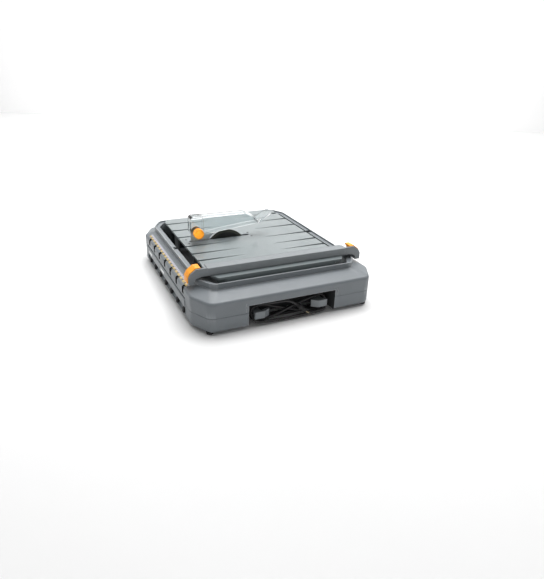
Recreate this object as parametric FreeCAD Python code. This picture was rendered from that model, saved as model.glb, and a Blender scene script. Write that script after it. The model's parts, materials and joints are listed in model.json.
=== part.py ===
"""Bench-top wet saw for tiles and thin masonry: base tray, upper housing, table, fence, guard and drive.

Millimetres, +Z up, +X to the operator's right, +Y away from the operator.
Along Y the pieces are drawn from the middle of the table's opening. At the end every piece moves by the
same distance, so that the origin is on the surface the saw stands on, under the middle of the housing.
"""
import FreeCAD
import Part
import math
import os

V = FreeCAD.Vector

# Housing outline and heights
HALF_X = 231.0
FRONT_Y, REAR_Y = -281.6, 253.0
MIDDLE_Y = (FRONT_Y + REAR_Y) / 2
CUT_X, CUT_Y = 28.6, 54.0
CORNER_R = 22.0
BOTTOM_R, SHOULDER_R = 7.0, 7.0
FOOT_H = 6.0
SEAM_Z = 41.1
WALL_TOP = 77.5
SHOULDER_TOP = 87.1
RIM_TOP = 100.6
LEDGE_TOP = 97.0
WALL = 3.0
RIM_X, RIM_Y = 204.0, 236.0
RIM_CUT_X, RIM_CUT_Y = 23.8, 41.9
OPEN_X, OPEN_Y = 190.5, 226.5
SKIRT_BOTTOM = 62.0
SIDE_X = 233.0
SEAM_GAP = 0.7

# Feet, screws, table posts and drain: the front ones and the rear ones
FOOT_AT = [(side * x, y) for side in (-1, 1) for x, y in ((199.5, -266.0), (190.0, 230.0))]
FOOT_R = 8.5
SCREW_PAIRS = ((208.5, -232.0), (150.0, -262.0), (208.5, 204.0), (150.0, 240.0))
SCREW_AT = [(side * x, y) for side in (-1, 1) for x, y in SCREW_PAIRS]
POST_AT = [(side * 140.0, y) for side in (-1, 1) for y in (-196.0, 196.0)]
DRAIN_X, DRAIN_Z = 120.0, 24.0

# Front recess that stores the power cord
RECESS_X0, RECESS_X1 = -114.0, 107.5
MARK_X = (-119.8, 114.2)
RECESS_BACK = -221.6
RECESS_TOP = 58.6

# Sunk panel in each side wall
PANEL_Y0, PANEL_Y1 = -190.0, 178.0
PANEL_X = 216.5
PANEL_OUT = [
    (-SIDE_X - 3, 14.0), (-228.5, 14.0), (-PANEL_X, 34.0),
    (-PANEL_X, 51.0), (-HALF_X, 57.0), (-SIDE_X - 3, 57.0),
]
PANEL_IN = [
    (-SIDE_X - 3, 10.5), (-226.0, 10.5), (-PANEL_X + WALL, 33.0), (-PANEL_X + WALL, 52.5),
    (-HALF_X + WALL, 60.3), (-SIDE_X - 3, 60.3),
]
HANDLE_X = 232.5
HANDLE_SCREW_YS, HANDLE_SCREW_Z = (PANEL_Y0 + 7, PANEL_Y1 - 7), 45.0
SLOT_YS = [-174.0 + i * 53.5 for i in range(7)]
SLOT_HALF, SLOT_DEEP, SLOT_BOTTOM = 6.5, 6.5, 61.5
TAPE_X0, TAPE_X1, TAPE_Y0, TAPE_Y1, TAPE_T = 224.5, 215.0, -187.0, 175.0, 0.4

# Table
TABLE_TOP = 106.1
TABLE_T = 5.0
TABLE_X = 172.0
SKIRT_X = 154.0
TABLE_SKIRT_BOTTOM = 82.0
TABLE_Y0, TABLE_Y1 = -218.0, 223.0
GROOVE_YS = (-140.0, -108.0, -62.0, -8.0, 62.0, 120.0, 180.0)
GROOVE_IN_X = 45.0
TABLE_SLOTS = ((100.0, 119.0, 178.5, 181.5), (157.0, 168.0, 172.5, 175.5))
INSERT_X0, INSERT_X1 = -161.5, 20.5
INSERT_Y0, INSERT_Y1 = 8.0, 45.0
INSERT_T = 3.0
INSERT_SCREW_XS = (INSERT_X0 + 4.0, INSERT_X1 - 4.0)
INSERT_SCREW_YS = (INSERT_Y0 + 4.0, INSERT_Y1 - 4.0)
INSERT_SCREW_AT = [(x, y) for x in INSERT_SCREW_XS for y in INSERT_SCREW_YS]

# Blade and drive
BLADE_X, BLADE_Y, BLADE_Z = -51.5, 26.5, 69.6
BLADE_R, BLADE_T = 57.5, 2.2
CORE_R, CORE_T = 50.0, 1.6
BORE_R = 11.1
SHAFT_R = 5.0
JOURNAL_R = 6.0
MOTOR_R = 28.0
MOTOR_Y0, MOTOR_Y1 = -118.0, -6.0
ROTOR_Y0, ROTOR_Y1 = -84.0, -34.0
FAN_Y0, FAN_Y1 = -31.0, -21.0
SADDLE_YS = (-102.0, -44.0)
HUB_R, BEARING_R, SEAL_R = 13.5, 11.0, 9.0
RUN_FIT = 0.03

# Electrical pieces on the tray floor
RUN_CAP_X, RUN_CAP_Z, RUN_CAP_R = 40.0, 26.0, 15.0
RUN_CAP_Y0, RUN_CAP_Y1 = -110.0, -50.0
CLIP_Y0, CLIP_Y1 = -86.0, -74.0
BLOCK_X0, BLOCK_X1, BLOCK_Y0, BLOCK_Y1, BLOCK_TOP = -100.0, -62.0, -208.0, -192.0, 27.0

# Guard, its pivot and the riving knife that carries it
PIVOT_X, PIVOT_Z = -135.5, 133.7
GUARD_Y0, GUARD_Y1 = 12.5, 40.5
GUARD_T = 3.0
KNOB_R = 13.0
KNOB_Y0, KNOB_Y1 = -8.0, 9.0
WASHER_Y0 = 11.4
BOLT_R = 3.0
KNIFE_Y0, KNIFE_Y1 = 25.6, 27.4
KNIFE_X0, KNIFE_X1 = -149.0, -118.0
KNIFE_EYE_R = 13.0
KNIFE_FOOT_Z = 84.0
KNIFE_SCREW_XS, KNIFE_SCREW_Z, KNIFE_SCREW_R = (-143.0, -124.0), 91.0, 1.95
GUARD_SIDE = [
    (-151.0, 131.0), (-147.0, 126.0), (-109.5, 126.0), (41.5, 141.5), (36.5, 148.5), (23.5, 160.0),
    (1.5, 172.0), (-120.0, 172.0), (-122.0, 174.0), (-146.0, 174.0), (-151.0, 169.0),
]
GUARD_HOLLOW = [
    (-116.5, 100.0), (-116.5, 169.0), (0.7, 169.0), (21.5, 157.7), (33.5, 147.0), (36.3, 142.5),
    (36.3, 100.0),
]
GUARD_LIP = [(33.1, 147.8), (36.1, 141.0), (76.5, 165.0), (75.0, 168.0)]

# Fence
FENCE_Y0, FENCE_Y1 = -201.0, -174.0
FENCE_BOTTOM, FENCE_TOP = 107.2, 125.0
FENCE_X = 179.0
CHEEK_Y = -197.3
CAP_SIDE = [(-FENCE_X, 126.0), (-206.0, 126.0), (-218.5, 116.8), (-224.2, 107.5), (-224.2, 91.0)]
CAP_UNDER = [
    (-211.0, 91.0), (-211.0, 98.5), (-207.0, 103.5), (-193.5, FENCE_BOTTOM), (-FENCE_X, FENCE_BOTTOM),
]
POCKET_X, POCKET_Z = 185.0, 111.0
LEVER_Y0, LEVER_Y1 = -197.0, -172.8
LEVER_OUT, LEVER_IN = 1.8, -2.5
LEVER_TIP_X, LEVER_TIP_Z = 195.0, 93.5
LEVER_HUB_R = 4.6
PIN_X, PIN_Z, PIN_R = 204.5, 118.5, 2.0
FENCE_SCREW_X, FENCE_SCREW_Y = 171.5, -187.5

# Switch
SWITCH_Y, SWITCH_Z = -208.0, 59.0
SWITCH_PIN_X = HALF_X - 5.0
BEZEL_X = HALF_X - 4.0
ROCKER_TIP = 8.0
ROCKER_PIN_R = 1.2

# Cord winding
GLAND_Y, GLAND_Z = -246.0, 51.2
GLAND_R = 5.5
CORD_R = 3.2
HOOK_LEFT, HOOK_RIGHT, HOOK_Z = -84.7, 78.9, 26.0
PAD_HALF, PAD_FRONT, PAD_BACK = 11.6, -276.0, -267.0
WIND_Y0, WIND_Y1 = -262.0, -228.0
WIND_OUT, WIND_IN = 20.8, 11.6
CORD_ROUTE = [
    (-87.0, -246.0, 51.2), (-47.5, -247.5, 47.6), (-7.5, -247.0, 45.4), (30.5, -245.0, 45.0),
    (69.4, -243.0, 43.2),
]
TAIL_ROUTE = [(-43.5, -263.5, 38.5), (-26.0, -268.5, 48.0), (-8.0, -271.0, 47.5), (6.0, -271.9, 37.5)]
PLUG_AT = V(6.0, -271.9, 37.5)
PLUG_LEAN = 40.0


def box(x0, x1, y0, y1, z0, z1):
    return Part.makeBox(x1 - x0, y1 - y0, z1 - z0, V(x0, y0, z0))


def cyl_y(x, z, r, y0, y1):
    return Part.makeCylinder(r, y1 - y0, V(x, y0, z), V(0, 1, 0))


def cyl_z(x, y, r, z0, z1):
    return Part.makeCylinder(r, z1 - z0, V(x, y, z0), V(0, 0, 1))


def cyl_x(y, z, r, x0, x1):
    return Part.makeCylinder(r, x1 - x0, V(x0, y, z), V(1, 0, 0))


def tube_y(x, z, r_out, r_in, y0, y1):
    return cyl_y(x, z, r_out, y0, y1).cut(cyl_y(x, z, r_in, y0 - 1, y1 + 1))


def profile_y(points, y0, y1):
    """A prism along Y over an outline of (x, z) points."""
    wire = Part.makePolygon([V(x, y0, z) for x, z in points + points[:1]])
    return Part.Face(wire).extrude(V(0, y1 - y0, 0))


def moved_out(points, out):
    """An open outline of (x, z) points, moved to the outer side by a distance."""
    normals = []
    for (x0, z0), (x1, z1) in zip(points, points[1:]):
        long = math.hypot(x1 - x0, z1 - z0)
        normals.append(((z1 - z0) / long, (x0 - x1) / long))
    moved = []
    for (x, z), (ax, az), (bx, bz) in zip(points, normals[:1] + normals, normals + normals[-1:]):
        share = out / (1 + ax * bx + az * bz)
        moved.append((x + share * (ax + bx), z + share * (az + bz)))
    return moved


def wedge(x0, half0, z0, x1, half1, z1, y, top):
    """A flat-topped channel along X that narrows and rises from one end to the other."""
    ends = ((x0, half0, z0), (x1, half1, z1))
    p = [V(x, y + s * half, z) for x, half, low in ends for s in (-1, 1) for z in (low, top)]
    faces = ((0, 1, 3, 2), (4, 5, 7, 6), (0, 1, 5, 4), (2, 3, 7, 6), (0, 2, 6, 4), (1, 3, 7, 5))
    shell = Part.makeShell([Part.Face(Part.makePolygon([p[i] for i in f + f[:1]])) for f in faces])
    solid = Part.makeSolid(shell)
    return solid if solid.Volume > 0 else solid.reversed()


def joined(shapes):
    first, rest = shapes[0], shapes[1:]
    return first.fuse(rest).removeSplitter() if rest else first


def mirrored(shape):
    """The same piece on the other side of the saw."""
    return shape.mirror(V(0, 0, 0), V(1, 0, 0))


def slopes_cut(cut_x, cut_y, inward):
    """The corner cuts of an outline moved inward by a distance on every side."""
    long = math.hypot(cut_x, cut_y)
    return (
        cut_x - inward * (1 + cut_x / cut_y - long / cut_y),
        cut_y - inward * (1 + cut_y / cut_x - long / cut_x),
    )


def outline(half_x, half_y, cut_x, cut_y, radius, z):
    """A rectangle with four cut corners, each corner of it rounded."""
    quarter = [(half_x, half_y - cut_y), (half_x - cut_x, half_y)]
    points = []
    for sx, sy, order in ((1, 1, 1), (-1, 1, -1), (-1, -1, 1), (1, -1, -1)):
        points += [V(sx * x, sy * y, z) for x, y in quarter[::order]]
    edges, ends = [], []
    count = len(points)
    for i in range(count):
        before, here, after = points[i - 1], points[i], points[(i + 1) % count]
        a, b = (before - here).normalize(), (after - here).normalize()
        half = a.getAngle(b) / 2
        start, end = here + a * (radius / math.tan(half)), here + b * (radius / math.tan(half))
        middle_way = (a + b).normalize()
        middle = here + middle_way * (radius / math.sin(half) - radius)
        ends.append((start, middle, end))
    for i in range(count):
        start, middle, end = ends[i]
        edges.append(Part.Arc(start, middle, end).toShape())
        edges.append(Part.LineSegment(end, ends[(i + 1) % count][0]).toShape())
    return Part.Wire(edges)


def body_outline(inward, z):
    cut_x, cut_y = slopes_cut(CUT_X, CUT_Y, inward)
    wire = outline(HALF_X - inward, (REAR_Y - FRONT_Y) / 2 - inward, cut_x, cut_y, CORNER_R - inward, z)
    wire.translate(V(0, MIDDLE_Y, 0))
    return wire


def rim_outline(inward, z):
    cut_x, cut_y = slopes_cut(RIM_CUT_X, RIM_CUT_Y, inward)
    return outline(RIM_X - inward, RIM_Y - inward, cut_x, cut_y, CORNER_R - inward, z)


def raised(wire, height):
    return Part.Face(wire).extrude(V(0, 0, height))


def open_outline(outward, z):
    return outline(OPEN_X + outward, OPEN_Y + outward, 20.0, 36.0, 12.0 + outward, z)


def panel_cut():
    left = profile_y(PANEL_OUT, PANEL_Y0, PANEL_Y1)
    return [left, mirrored(left)]


def panel_backing():
    left = profile_y(PANEL_IN, PANEL_Y0 - WALL, PANEL_Y1 + WALL)
    return [left, mirrored(left)]


def slot_cut():
    left = [
        box(-HALF_X - 1, -HALF_X + SLOT_DEEP, y - SLOT_HALF, y + SLOT_HALF, SLOT_BOTTOM, SHOULDER_TOP)
        for y in SLOT_YS
    ]
    return left + [mirrored(slot) for slot in left]


def recess_box():
    return box(RECESS_X0, RECESS_X1, FRONT_Y - 1, RECESS_BACK, 0, RECESS_TOP)


def recess_backing():
    return box(RECESS_X0 - WALL, RECESS_X1 + WALL, FRONT_Y - 1, RECESS_BACK + WALL, 0, RECESS_TOP + WALL)


def rounded_at(shape, z, radius):
    """The shape with its outline at one height rounded off."""
    edges = [e for e in shape.Edges if abs(e.BoundBox.ZMin - z) < 0.01 and abs(e.BoundBox.ZMax - z) < 0.01]
    return shape.makeFillet(radius, edges)


def seam_groove():
    """Shadow gap round the housing where its two halves meet."""
    ring = raised(body_outline(-1.0, SEAM_Z - SEAM_GAP), SEAM_GAP)
    return ring.cut(raised(body_outline(SEAM_GAP, SEAM_Z - 1.0), 2.0))


def base_tray():
    floor_top = FOOT_H + WALL
    outer = rounded_at(raised(body_outline(0, FOOT_H), SEAM_Z - FOOT_H), FOOT_H, BOTTOM_R)
    hollow = raised(body_outline(WALL, floor_top), SEAM_Z - floor_top + 1)
    hollow = hollow.cut(panel_backing() + [recess_backing()])
    tray = outer.cut([hollow, recess_box(), seam_groove()] + panel_cut())
    bosses = [cyl_z(x, y, 6.5, floor_top - 1, SEAM_Z) for x, y in SCREW_AT]
    bosses += [cyl_z(x, y, 7.0, floor_top - 1, TABLE_TOP - TABLE_T) for x, y in POST_AT]
    bosses += [cyl_y(DRAIN_X, DRAIN_Z, 13.0, REAR_Y - WALL - 6, REAR_Y - 1)]
    tray = joined([tray] + bosses)
    holes = [cyl_z(x, y, 2.1, 0, SEAM_Z + 1) for x, y in SCREW_AT]
    holes += [cyl_z(x, y, 4.6, 0, FOOT_H + 3.2) for x, y in SCREW_AT + POST_AT]
    holes += [cyl_z(x, y, 2.1, 0, TABLE_TOP) for x, y in POST_AT]
    holes += [cyl_z(x, y, 2.6, 0, FOOT_H + WALL + 1) for x, y in FOOT_AT]
    holes += [
        cyl_y(DRAIN_X, DRAIN_Z, 8.0, REAR_Y - 20, REAR_Y + 1),
        cyl_y(DRAIN_X, DRAIN_Z, 11.3, REAR_Y - 3.2, REAR_Y + 1),
    ]
    return tray.cut(holes)


def upper_housing():
    wall = raised(body_outline(0, SEAM_Z), WALL_TOP - SEAM_Z)
    shoulder = Part.makeLoft([body_outline(0, WALL_TOP), rim_outline(0, SHOULDER_TOP)], True, True)
    rim = raised(rim_outline(0, SHOULDER_TOP), RIM_TOP - SHOULDER_TOP)
    outer = joined([rounded_at(joined([wall, shoulder]), WALL_TOP, SHOULDER_R), rim])
    under = WALL_TOP - WALL
    hollow = joined([
        raised(body_outline(WALL, SEAM_Z - 1), under - SEAM_Z + 1),
        Part.makeLoft([body_outline(WALL, under), rim_outline(WALL, SHOULDER_TOP - WALL)], True, True),
        raised(rim_outline(WALL, SHOULDER_TOP - WALL), LEDGE_TOP - WALL - SHOULDER_TOP + WALL),
    ])
    hollow = hollow.cut(panel_backing() + [recess_backing()])
    opening = raised(open_outline(0, SKIRT_BOTTOM - 1), RIM_TOP)
    rim_inside = raised(rim_outline(WALL, LEDGE_TOP), RIM_TOP)
    housing = outer.cut([hollow, opening, rim_inside] + panel_cut() + [recess_box()])
    skirt = raised(open_outline(WALL - 0.5, SKIRT_BOTTOM), LEDGE_TOP - 1 - SKIRT_BOTTOM).cut(opening)
    bosses = [cyl_z(x, y, 6.5, SEAM_Z, SHOULDER_TOP).common(outer) for x, y in SCREW_AT]
    housing = joined([housing, skirt] + bosses)
    cuts = [cyl_z(x, y, 1.8, SEAM_Z - 1, SEAM_Z + 20) for x, y in SCREW_AT] + slot_cut()
    for side in (-1, 1):
        notch = box(OPEN_X - 2, RIM_X - WALL, 6.0, 22.0, LEDGE_TOP - 8, LEDGE_TOP + 1)
        cuts.append(notch if side > 0 else mirrored(notch))
    cuts += [box(x - 0.8, x + 0.8, FRONT_Y - 1, FRONT_Y + 1.2, SEAM_Z, 63.1) for x in MARK_X]
    cuts.append(cyl_x(GLAND_Y, GLAND_Z, GLAND_R + 0.05, RECESS_X0 - WALL - 1, RECESS_X0 + 1))
    cuts.append(box(BEZEL_X, HALF_X + 1, SWITCH_Y - 14, SWITCH_Y + 14, 43.0, 74.5))
    housing = housing.cut(cuts)
    backing = box(BEZEL_X - WALL, BEZEL_X, SWITCH_Y - 16, SWITCH_Y + 16, SEAM_Z, 74.0)
    hole = box(BEZEL_X - WALL - 1, HALF_X, SWITCH_Y - 9.6, SWITCH_Y + 9.6, 46.5, 71.5)
    return joined([housing, backing]).cut(hole)


def saw_table():
    under = TABLE_TOP - TABLE_T
    middle = (TABLE_Y0 + TABLE_Y1) / 2
    half_y = (TABLE_Y1 - TABLE_Y0) / 2
    plate = raised(outline(TABLE_X, half_y, 12.0, 20.0, 6.0, under), TABLE_T)
    skirt_foot = TABLE_SKIRT_BOTTOM
    skirt = raised(outline(SKIRT_X, half_y, 12.0, 20.0, 6.0, skirt_foot), under - skirt_foot + 1)
    skirt = skirt.cut(raised(outline(SKIRT_X - 3, half_y - 3, 10.8, 18.6, 5.0, skirt_foot - 1), 40.0))
    plate = plate.fuse(skirt)
    plate.translate(V(0, middle, 0))
    above = TABLE_TOP + 1
    x0, x1, y0, y1 = INSERT_X0 - 0.2, INSERT_X1 + 0.2, INSERT_Y0 - 0.2, INSERT_Y1 + 0.2
    holes = [
        box(x0, x1, y0, y1, TABLE_TOP - INSERT_T, above),
        box(INSERT_X0 + 7, INSERT_X1 - 7, INSERT_Y0 + 5, INSERT_Y1 - 5, under - 1, above),
    ]
    holes += [box(*sides, under - 1, above) for sides in TABLE_SLOTS]
    holes += [cyl_z(x, y, 2.0, under - 1, under + 3.5) for x, y in POST_AT]
    holes += [cyl_z(x, y, 1.55, under - 1, TABLE_TOP) for x, y in INSERT_SCREW_AT]
    for y in GROOVE_YS:
        left = wedge(-TABLE_X - 1, 4.5, TABLE_TOP - 4.0, -GROOVE_IN_X, 0.6, TABLE_TOP - 0.1, y, TABLE_TOP + 1)
        holes += [left, mirrored(left)]
    return plate.cut(holes)


def blade_insert():
    plate = box(INSERT_X0, INSERT_X1, INSERT_Y0, INSERT_Y1, TABLE_TOP - INSERT_T, TABLE_TOP)
    cuts = [box(INSERT_X0 + 9.0, INSERT_X1 - 7.0, BLADE_Y - 4.5, BLADE_Y + 4.5, 100, 110)]
    cuts += [cyl_z(x, y, 1.7, 100, 110) for x, y in INSERT_SCREW_AT]
    cuts += [Part.makeCone(1.7, 3.6, 1.9, V(x, y, TABLE_TOP - 1.9), V(0, 0, 1)) for x, y in INSERT_SCREW_AT]
    return plate.cut(cuts)


def countersunk(x, y, top, length):
    head = Part.makeCone(1.5, 3.4, 1.8, V(x, y, top - 1.8), V(0, 0, 1))
    screw = head.fuse(cyl_z(x, y, 1.5, top - length, top - 1.5))
    slot = box(x - 2.2, x + 2.2, y - 0.35, y + 0.35, top - 0.8, top + 1)
    cross = box(x - 0.35, x + 0.35, y - 2.2, y + 2.2, top - 0.8, top + 1)
    return screw.cut([slot, cross])


def insert_screws():
    return Part.makeCompound([countersunk(x, y, TABLE_TOP - 0.2, 8.0) for x, y in INSERT_SCREW_AT])


def riving_knife():
    """Steel plate behind the blade: follows the blade's edge, rises to the guard pivot."""
    foot = [(KNIFE_X0, KNIFE_FOOT_Z), (KNIFE_X1, KNIFE_FOOT_Z)]
    neck = foot + [(PIVOT_X + KNIFE_EYE_R, PIVOT_Z), (PIVOT_X - KNIFE_EYE_R, PIVOT_Z)]
    toe = [(-120.0, 66.0), (-84.0, 66.0), (-84.0, 121.0), (-102.0, 126.0), (-122.5, 126.0)]
    plate = joined([
        profile_y(neck, KNIFE_Y0, KNIFE_Y1),
        profile_y(toe, KNIFE_Y0, KNIFE_Y1),
        cyl_y(PIVOT_X, PIVOT_Z, KNIFE_EYE_R, KNIFE_Y0, KNIFE_Y1),
    ])
    holes = [cyl_y(x, KNIFE_SCREW_Z, KNIFE_SCREW_R + 0.02, 20, 33) for x in KNIFE_SCREW_XS]
    holes.append(cyl_y(BLADE_X, BLADE_Z, BLADE_R + 4, 20, 33))
    holes.append(cyl_y(PIVOT_X, PIVOT_Z, BOLT_R + RUN_FIT, 20, 33))
    return plate.cut(holes)


def knife_bracket():
    """Angle under the table that the riving knife is bolted to."""
    under = TABLE_TOP - TABLE_T
    leg = box(KNIFE_X0, KNIFE_X1, KNIFE_Y1, KNIFE_Y1 + 4.0, KNIFE_FOOT_Z, under)
    top = box(KNIFE_X0, KNIFE_X1, KNIFE_Y1, 62.0, under - 3.0, under)
    return joined([leg, top]).cut([cyl_y(x, KNIFE_SCREW_Z, 2.0, 20, 40) for x in KNIFE_SCREW_XS])


def knife_screws():
    screws = []
    for x in KNIFE_SCREW_XS:
        shank = cyl_y(x, KNIFE_SCREW_Z, KNIFE_SCREW_R, KNIFE_Y0, 36.0)
        head = cyl_y(x, KNIFE_SCREW_Z, 4.0, KNIFE_Y0 - 3, KNIFE_Y0)
        slot = box(x - 3, x + 3, 22.0, 23.8, KNIFE_SCREW_Z - 0.5, KNIFE_SCREW_Z + 0.5)
        screws.append(shank.fuse(head).cut(slot))
    return Part.makeCompound(screws)


def blade():
    rim = tube_y(BLADE_X, BLADE_Z, BLADE_R, CORE_R - 1, BLADE_Y - BLADE_T / 2, BLADE_Y + BLADE_T / 2)
    core = tube_y(BLADE_X, BLADE_Z, CORE_R, BORE_R, BLADE_Y - CORE_T / 2, BLADE_Y + CORE_T / 2)
    return joined([core, rim])


def inner_flange():
    y0 = BLADE_Y - CORE_T / 2
    disc = cyl_y(BLADE_X, BLADE_Z, 20.0, y0 - 4.5, y0)
    spigot = cyl_y(BLADE_X, BLADE_Z, BORE_R - RUN_FIT, y0 - 1, y0 + 1.4)
    return joined([disc, spigot]).cut([
        cyl_y(BLADE_X, BLADE_Z, SHAFT_R, y0 - 6, y0 + 3),
        tube_y(BLADE_X, BLADE_Z, 16.0, 12.5, y0 - 0.6, y0 + 0.1),
    ])


def outer_flange():
    y0 = BLADE_Y + CORE_T / 2
    disc = Part.makeCone(20.0, 17.0, 4.0, V(BLADE_X, y0, BLADE_Z), V(0, 1, 0))
    return disc.cut([
        cyl_y(BLADE_X, BLADE_Z, SHAFT_R, y0 - 1, y0 + 6),
        cyl_y(BLADE_X, BLADE_Z, 16.0, y0 - 1, y0 + 0.8),
    ])


def hexagon(x, z, across, y0, y1):
    r = across / math.sqrt(3)
    turns = [math.radians(60 * i) for i in range(6)]
    return profile_y([(x + r * math.cos(t), z + r * math.sin(t)) for t in turns], y0, y1)


def arbor_nut():
    y0 = BLADE_Y + CORE_T / 2 + 4.0
    nut = hexagon(BLADE_X, BLADE_Z, 17.0, y0, y0 + 8.0)
    return nut.cut(cyl_y(BLADE_X, BLADE_Z, SHAFT_R, y0 - 1, y0 + 9))


def motor_shaft():
    shoulder = BLADE_Y - CORE_T / 2 - 4.5
    thin = cyl_y(BLADE_X, BLADE_Z, SHAFT_R, MOTOR_Y0 + 6.5, 44.0)
    thick = cyl_y(BLADE_X, BLADE_Z, JOURNAL_R, -96.0, shoulder)
    return joined([thin, thick])


def rotor():
    return tube_y(BLADE_X, BLADE_Z, 15.0, JOURNAL_R, ROTOR_Y0, ROTOR_Y1)


def cooling_fan():
    hub = tube_y(BLADE_X, BLADE_Z, 10.0, JOURNAL_R, FAN_Y0, FAN_Y1)
    vanes = []
    for i in range(9):
        vane = box(BLADE_X + 9, BLADE_X + 22, FAN_Y0, FAN_Y1, BLADE_Z - 0.8, BLADE_Z + 0.8)
        vane.rotate(V(BLADE_X, 0, BLADE_Z), V(0, 1, 0), 40 * i)
        vanes.append(vane)
    return joined([hub] + vanes)


def motor_casing():
    can = tube_y(BLADE_X, BLADE_Z, MOTOR_R, MOTOR_R - 2, MOTOR_Y0 + 8, MOTOR_Y1 - 8)
    vents = []
    for i in range(8):
        slot = box(BLADE_X + 24, BLADE_X + 30, FAN_Y0 + 2, FAN_Y1 - 2, BLADE_Z - 4, BLADE_Z + 4)
        slot.rotate(V(BLADE_X, 0, BLADE_Z), V(0, 1, 0), 22.5 + 45 * i)
        vents.append(slot)
    return can.cut(vents)


def motor_stator():
    return tube_y(BLADE_X, BLADE_Z, MOTOR_R - 2, 15.6, ROTOR_Y0, ROTOR_Y1)


def front_end_cap():
    cap = cyl_y(BLADE_X, BLADE_Z, MOTOR_R, MOTOR_Y0, MOTOR_Y0 + 8)
    hub = cyl_y(BLADE_X, BLADE_Z, HUB_R, MOTOR_Y0, MOTOR_Y0 + 16)
    return joined([cap, hub]).cut(cyl_y(BLADE_X, BLADE_Z, BEARING_R, MOTOR_Y0 + 6, MOTOR_Y0 + 20))


def rear_end_cap():
    cap = cyl_y(BLADE_X, BLADE_Z, MOTOR_R, MOTOR_Y1 - 8, MOTOR_Y1)
    hub = cyl_y(BLADE_X, BLADE_Z, HUB_R, MOTOR_Y1 - 8, 17.0)
    return joined([cap, hub]).cut([
        cyl_y(BLADE_X, BLADE_Z, BEARING_R, MOTOR_Y1 - 4, 11.0),
        cyl_y(BLADE_X, BLADE_Z, JOURNAL_R + 0.5, MOTOR_Y1 - 10, 20.0),
        cyl_y(BLADE_X, BLADE_Z, SEAL_R, 12.0, 18.0),
    ])


def bearing(y0, bore):
    return tube_y(BLADE_X, BLADE_Z, BEARING_R, bore, y0, y0 + 7.0)


def shaft_seal():
    return tube_y(BLADE_X, BLADE_Z, SEAL_R, JOURNAL_R + RUN_FIT, 12.2, 16.8)


def motor_saddle(y0):
    block = box(BLADE_X - 34, BLADE_X + 34, y0, y0 + 7, BLADE_Z - 34, TABLE_TOP - TABLE_T)
    return block.cut(cyl_y(BLADE_X, BLADE_Z, MOTOR_R, y0 - 1, y0 + 8))


def splash_panel():
    plate = box(-SKIRT_X + 4, 70.0, 3.0, 6.0, FOOT_H + WALL + 0.5, TABLE_TOP - TABLE_T)
    return plate.cut(cyl_y(BLADE_X, BLADE_Z, HUB_R, 0, 10))


def run_capacitor():
    can = cyl_y(RUN_CAP_X, RUN_CAP_Z, RUN_CAP_R, RUN_CAP_Y0, RUN_CAP_Y1)
    tabs = []
    for x in (RUN_CAP_X - 6, RUN_CAP_X + 6):
        tabs.append(box(x - 0.4, x + 0.4, RUN_CAP_Y1, RUN_CAP_Y1 + 8, RUN_CAP_Z - 3, RUN_CAP_Z + 3))
    return joined([can] + tabs)


def capacitor_clip():
    floor_top = FOOT_H + WALL
    ring = tube_y(RUN_CAP_X, RUN_CAP_Z, RUN_CAP_R + 2, RUN_CAP_R, CLIP_Y0, CLIP_Y1)
    foot = box(RUN_CAP_X, RUN_CAP_X + 26, CLIP_Y0, CLIP_Y1, floor_top, floor_top + 2.0)
    below = box(RUN_CAP_X - 20, RUN_CAP_X + 40, CLIP_Y0 - 4, CLIP_Y1 + 4, 0, floor_top)
    return joined([ring, foot]).cut(below)


def terminal_block():
    block = box(BLOCK_X0, BLOCK_X1, BLOCK_Y0, BLOCK_Y1, FOOT_H + WALL, BLOCK_TOP)
    middle = (BLOCK_Y0 + BLOCK_Y1) / 2
    holes = [cyl_z(BLOCK_X0 + 6.3 + i * 8.4, middle, 2.2, BLOCK_TOP - 7, BLOCK_TOP + 1) for i in range(4)]
    return block.cut(holes)


def rocker_bezel():
    x0 = BEZEL_X
    frame = box(x0, x0 + 2.0, SWITCH_Y - 12.5, SWITCH_Y + 12.5, 44.2, 73.8)
    sleeve = box(x0 - 18.0, x0 + 1, SWITCH_Y - 9.5, SWITCH_Y + 9.5, 46.6, 71.4)
    shell = joined([frame, sleeve])
    tabs = [box(x0 - 26.0, x0 - 17.0, SWITCH_Y - 3, SWITCH_Y + 3, z, z + 0.8) for z in (50.0, 59.0, 68.0)]
    shell = shell.cut([
        box(x0 - 8.5, x0 + 3, SWITCH_Y - 8.0, SWITCH_Y + 8.0, 47.6, 70.4),
        cyl_y(SWITCH_PIN_X, SWITCH_Z, ROCKER_PIN_R + RUN_FIT, SWITCH_Y - 9.1, SWITCH_Y + 9.1),
    ])
    return joined([shell] + tabs)


def rocker_switch():
    """Rocker with a shallow vee face, tipped to off about a pin across its middle."""
    half = 9.6
    points = [(-1.0, -half), (4.6, -half), (3.2, 0), (4.6, half), (-1.0, half), (-4.0, 0)]
    body = profile_y(points, SWITCH_Y - 7.6, SWITCH_Y + 7.6)
    rocker = joined([body, cyl_y(0, 0, ROCKER_PIN_R, SWITCH_Y - 9.0, SWITCH_Y + 9.0)])
    rocker.rotate(V(0, 0, 0), V(0, 1, 0), -ROCKER_TIP)
    rocker.translate(V(SWITCH_PIN_X, 0, SWITCH_Z))
    return rocker


def strain_relief():
    x_wall, y, z = RECESS_X0, GLAND_Y, GLAND_Z
    parts = [
        cyl_x(y, z, GLAND_R + 1.7, x_wall - WALL - 3.0, x_wall - WALL),
        cyl_x(y, z, GLAND_R, x_wall - WALL - 1, x_wall + 1),
        cyl_x(y, z, GLAND_R + 1.7, x_wall, x_wall + 2.5),
        Part.makeCone(GLAND_R, 4.1, 25.0, V(x_wall + 2.0, y, z), V(1, 0, 0)),
    ]
    return joined(parts)


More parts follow.
